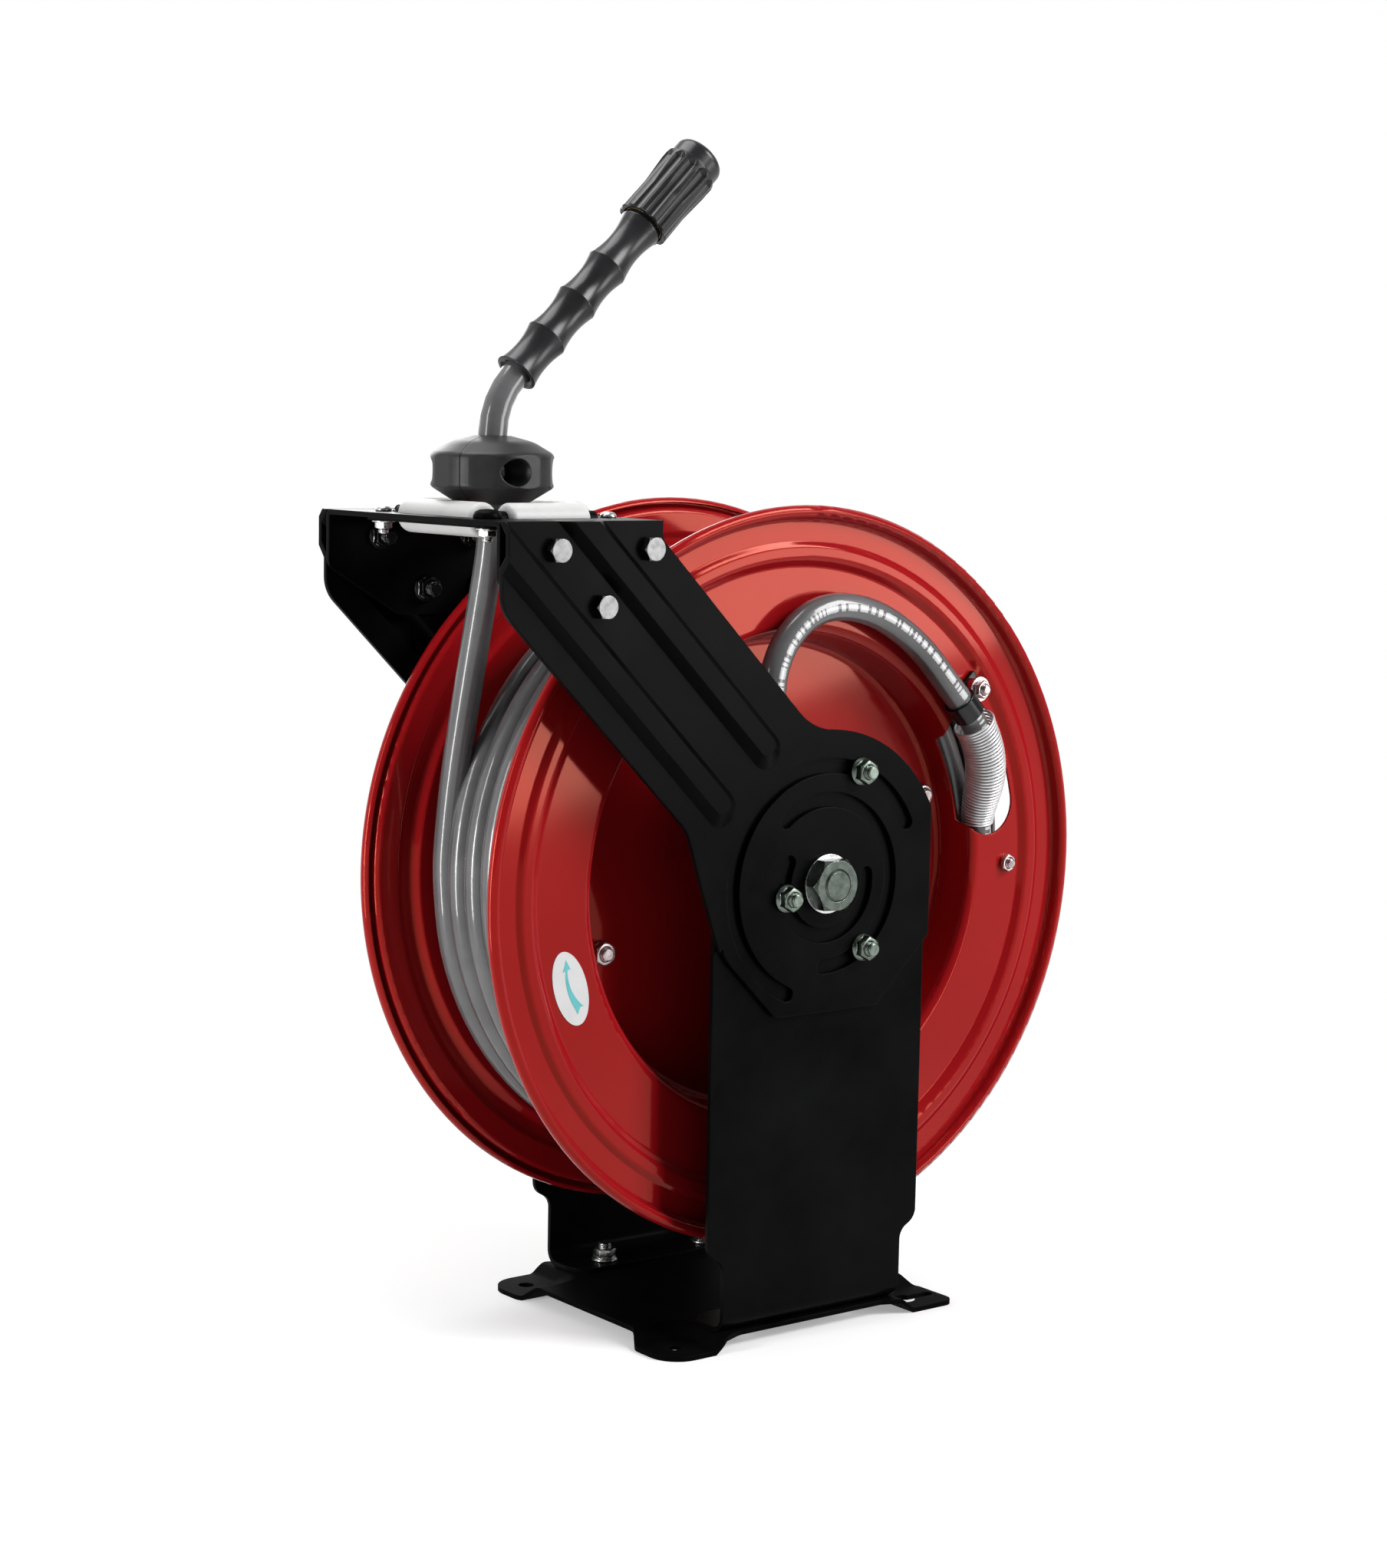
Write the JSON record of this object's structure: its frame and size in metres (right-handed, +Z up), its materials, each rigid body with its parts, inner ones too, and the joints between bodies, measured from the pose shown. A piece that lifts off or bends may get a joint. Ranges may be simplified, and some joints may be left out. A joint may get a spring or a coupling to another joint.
{
  "type": "spring-rewind hose reel",
  "caption": "Spring-rewind hose reel on twin pedestals, with a slotted guide arm, roller head, red drum and a wound grey hose.",
  "frame": {"origin": "on the floor, in the middle of the base plate's fixing holes, straight below the axle", "axes": "+X to the right when the hose outlet is at upper left, +Y to the back along the axle, +Z up"},
  "size_m": [0.4613, 0.2425, 0.7192],
  "materials": {
    "black_paint": "semi-gloss black powder coat",
    "red_paint": "gloss red powder coat",
    "zinc": "bright zinc plate",
    "steel": "plain steel",
    "brass": "machined brass",
    "bronze": "sintered bronze",
    "case_paint": "black paint",
    "chrome": "bright plated spring wire",
    "roller_plastic": "off-white nylon",
    "hose_rubber": "smooth grey cover with a light line",
    "black_rubber": "matte black moulding",
    "seal_rubber": "black seal",
    "label": "white film"
  },
  "bodies": {
    "stand": {"base_plate": "black_paint", "front_pedestal": "black_paint", "rear_pedestal": "black_paint", "foot_bolts": "zinc", "foot_nuts": "zinc", "main_shaft": "steel", "shaft_washers": "zinc", "shaft_nuts": "zinc", "inlet_nipple": "brass", "clamp_bolts": "zinc", "clamp_nuts": "zinc", "pawl_pin": "zinc", "spring_arbor": "steel"},
    "guide_arm": {"front_guide_arm": "black_paint", "rear_guide_arm": "black_paint", "roller_bracket": "black_paint", "roller_frame": "black_paint", "roller_pins": "steel", "arm_bolts": "zinc", "arm_nuts": "zinc", "head_screws": "zinc", "head_nuts": "zinc", "wound_hose": "hose_rubber"},
    "left_roller": {"left_roller": "roller_plastic"},
    "right_roller": {"right_roller": "roller_plastic"},
    "front_roller": {"front_roller": "roller_plastic"},
    "back_roller": {"back_roller": "roller_plastic"},
    "drum": {"front_disc": "red_paint", "rear_disc": "red_paint", "drum_core": "steel", "inner_winding": "hose_rubber", "tie_rods": "zinc", "tie_nuts": "zinc", "front_hub": "steel", "rear_hub": "steel", "front_bush": "bronze", "rear_bush": "bronze", "hub_screws": "zinc", "swivel_body": "brass", "swivel_seals": "seal_rubber", "outlet_fitting": "brass", "lead_ferrule": "zinc", "lead_hose": "hose_rubber", "hose_clip": "black_rubber", "clip_screws": "zinc", "spring_guard": "chrome", "spring_case": "case_paint", "spring_cover": "case_paint", "cover_rivets": "zinc", "power_spring": "steel", "ratchet_plate": "steel", "direction_label": "label"},
    "pawl": {"ratchet_pawl": "steel"},
    "hose_end": {"stop_front_half": "black_rubber", "stop_back_half": "black_rubber", "stop_screws": "zinc", "hose_stub": "hose_rubber", "grip_sleeve": "black_rubber", "end_fitting": "brass"},
    "cap": {"end_cap": "black_rubber"}
  },
  "joints": [
    {"name": "guide_arm_tilt", "type": "hinge", "parent": "stand", "child": "guide_arm", "pos_m": [0, 0, 0.278], "axis": [0, -1, 0], "range_deg": [-125, 37]},
    {"name": "hose_pull", "type": "slide", "parent": "guide_arm", "child": "hose_end", "axis": [0, 0, 1], "range_m": [0, 0.71275]},
    {"name": "drum_spin", "type": "hinge", "parent": "stand", "child": "drum", "pos_m": [0, 0, 0.278], "axis": [0, 1, 0], "range_deg": [0, 5130]},
    {"name": "left_roller_turn", "type": "hinge", "parent": "guide_arm", "child": "left_roller", "pos_m": [-0.211, 0, 0.4945], "axis": [0, 1, 0], "continuous": true},
    {"name": "right_roller_turn", "type": "hinge", "parent": "guide_arm", "child": "right_roller", "pos_m": [-0.145, 0, 0.4945], "axis": [0, 1, 0], "continuous": true},
    {"name": "front_roller_turn", "type": "hinge", "parent": "guide_arm", "child": "front_roller", "pos_m": [-0.178, -0.05, 0.4945], "axis": [1, 0, 0], "continuous": true},
    {"name": "back_roller_turn", "type": "hinge", "parent": "guide_arm", "child": "back_roller", "pos_m": [-0.178, 0.05, 0.4945], "axis": [1, 0, 0], "continuous": true},
    {"name": "pawl_swing", "type": "hinge", "parent": "stand", "child": "pawl", "pos_m": [0.067, 0, 0.311], "axis": [0, 1, 0], "range_deg": [0, 10], "stiffness_Nm_per_rad": 0.08},
    {"name": "cap_turn", "type": "hinge", "parent": "hose_end", "child": "cap", "pos_m": [-0.16586, 0, 0.57614], "axis": [0.7071, 0, 0.7071], "range_deg": [0, 1440]}
  ],
  "couplings": [
    {"joint": "drum_spin", "follows": "hose_pull", "rad_per_m": 5.5096}
  ]
}
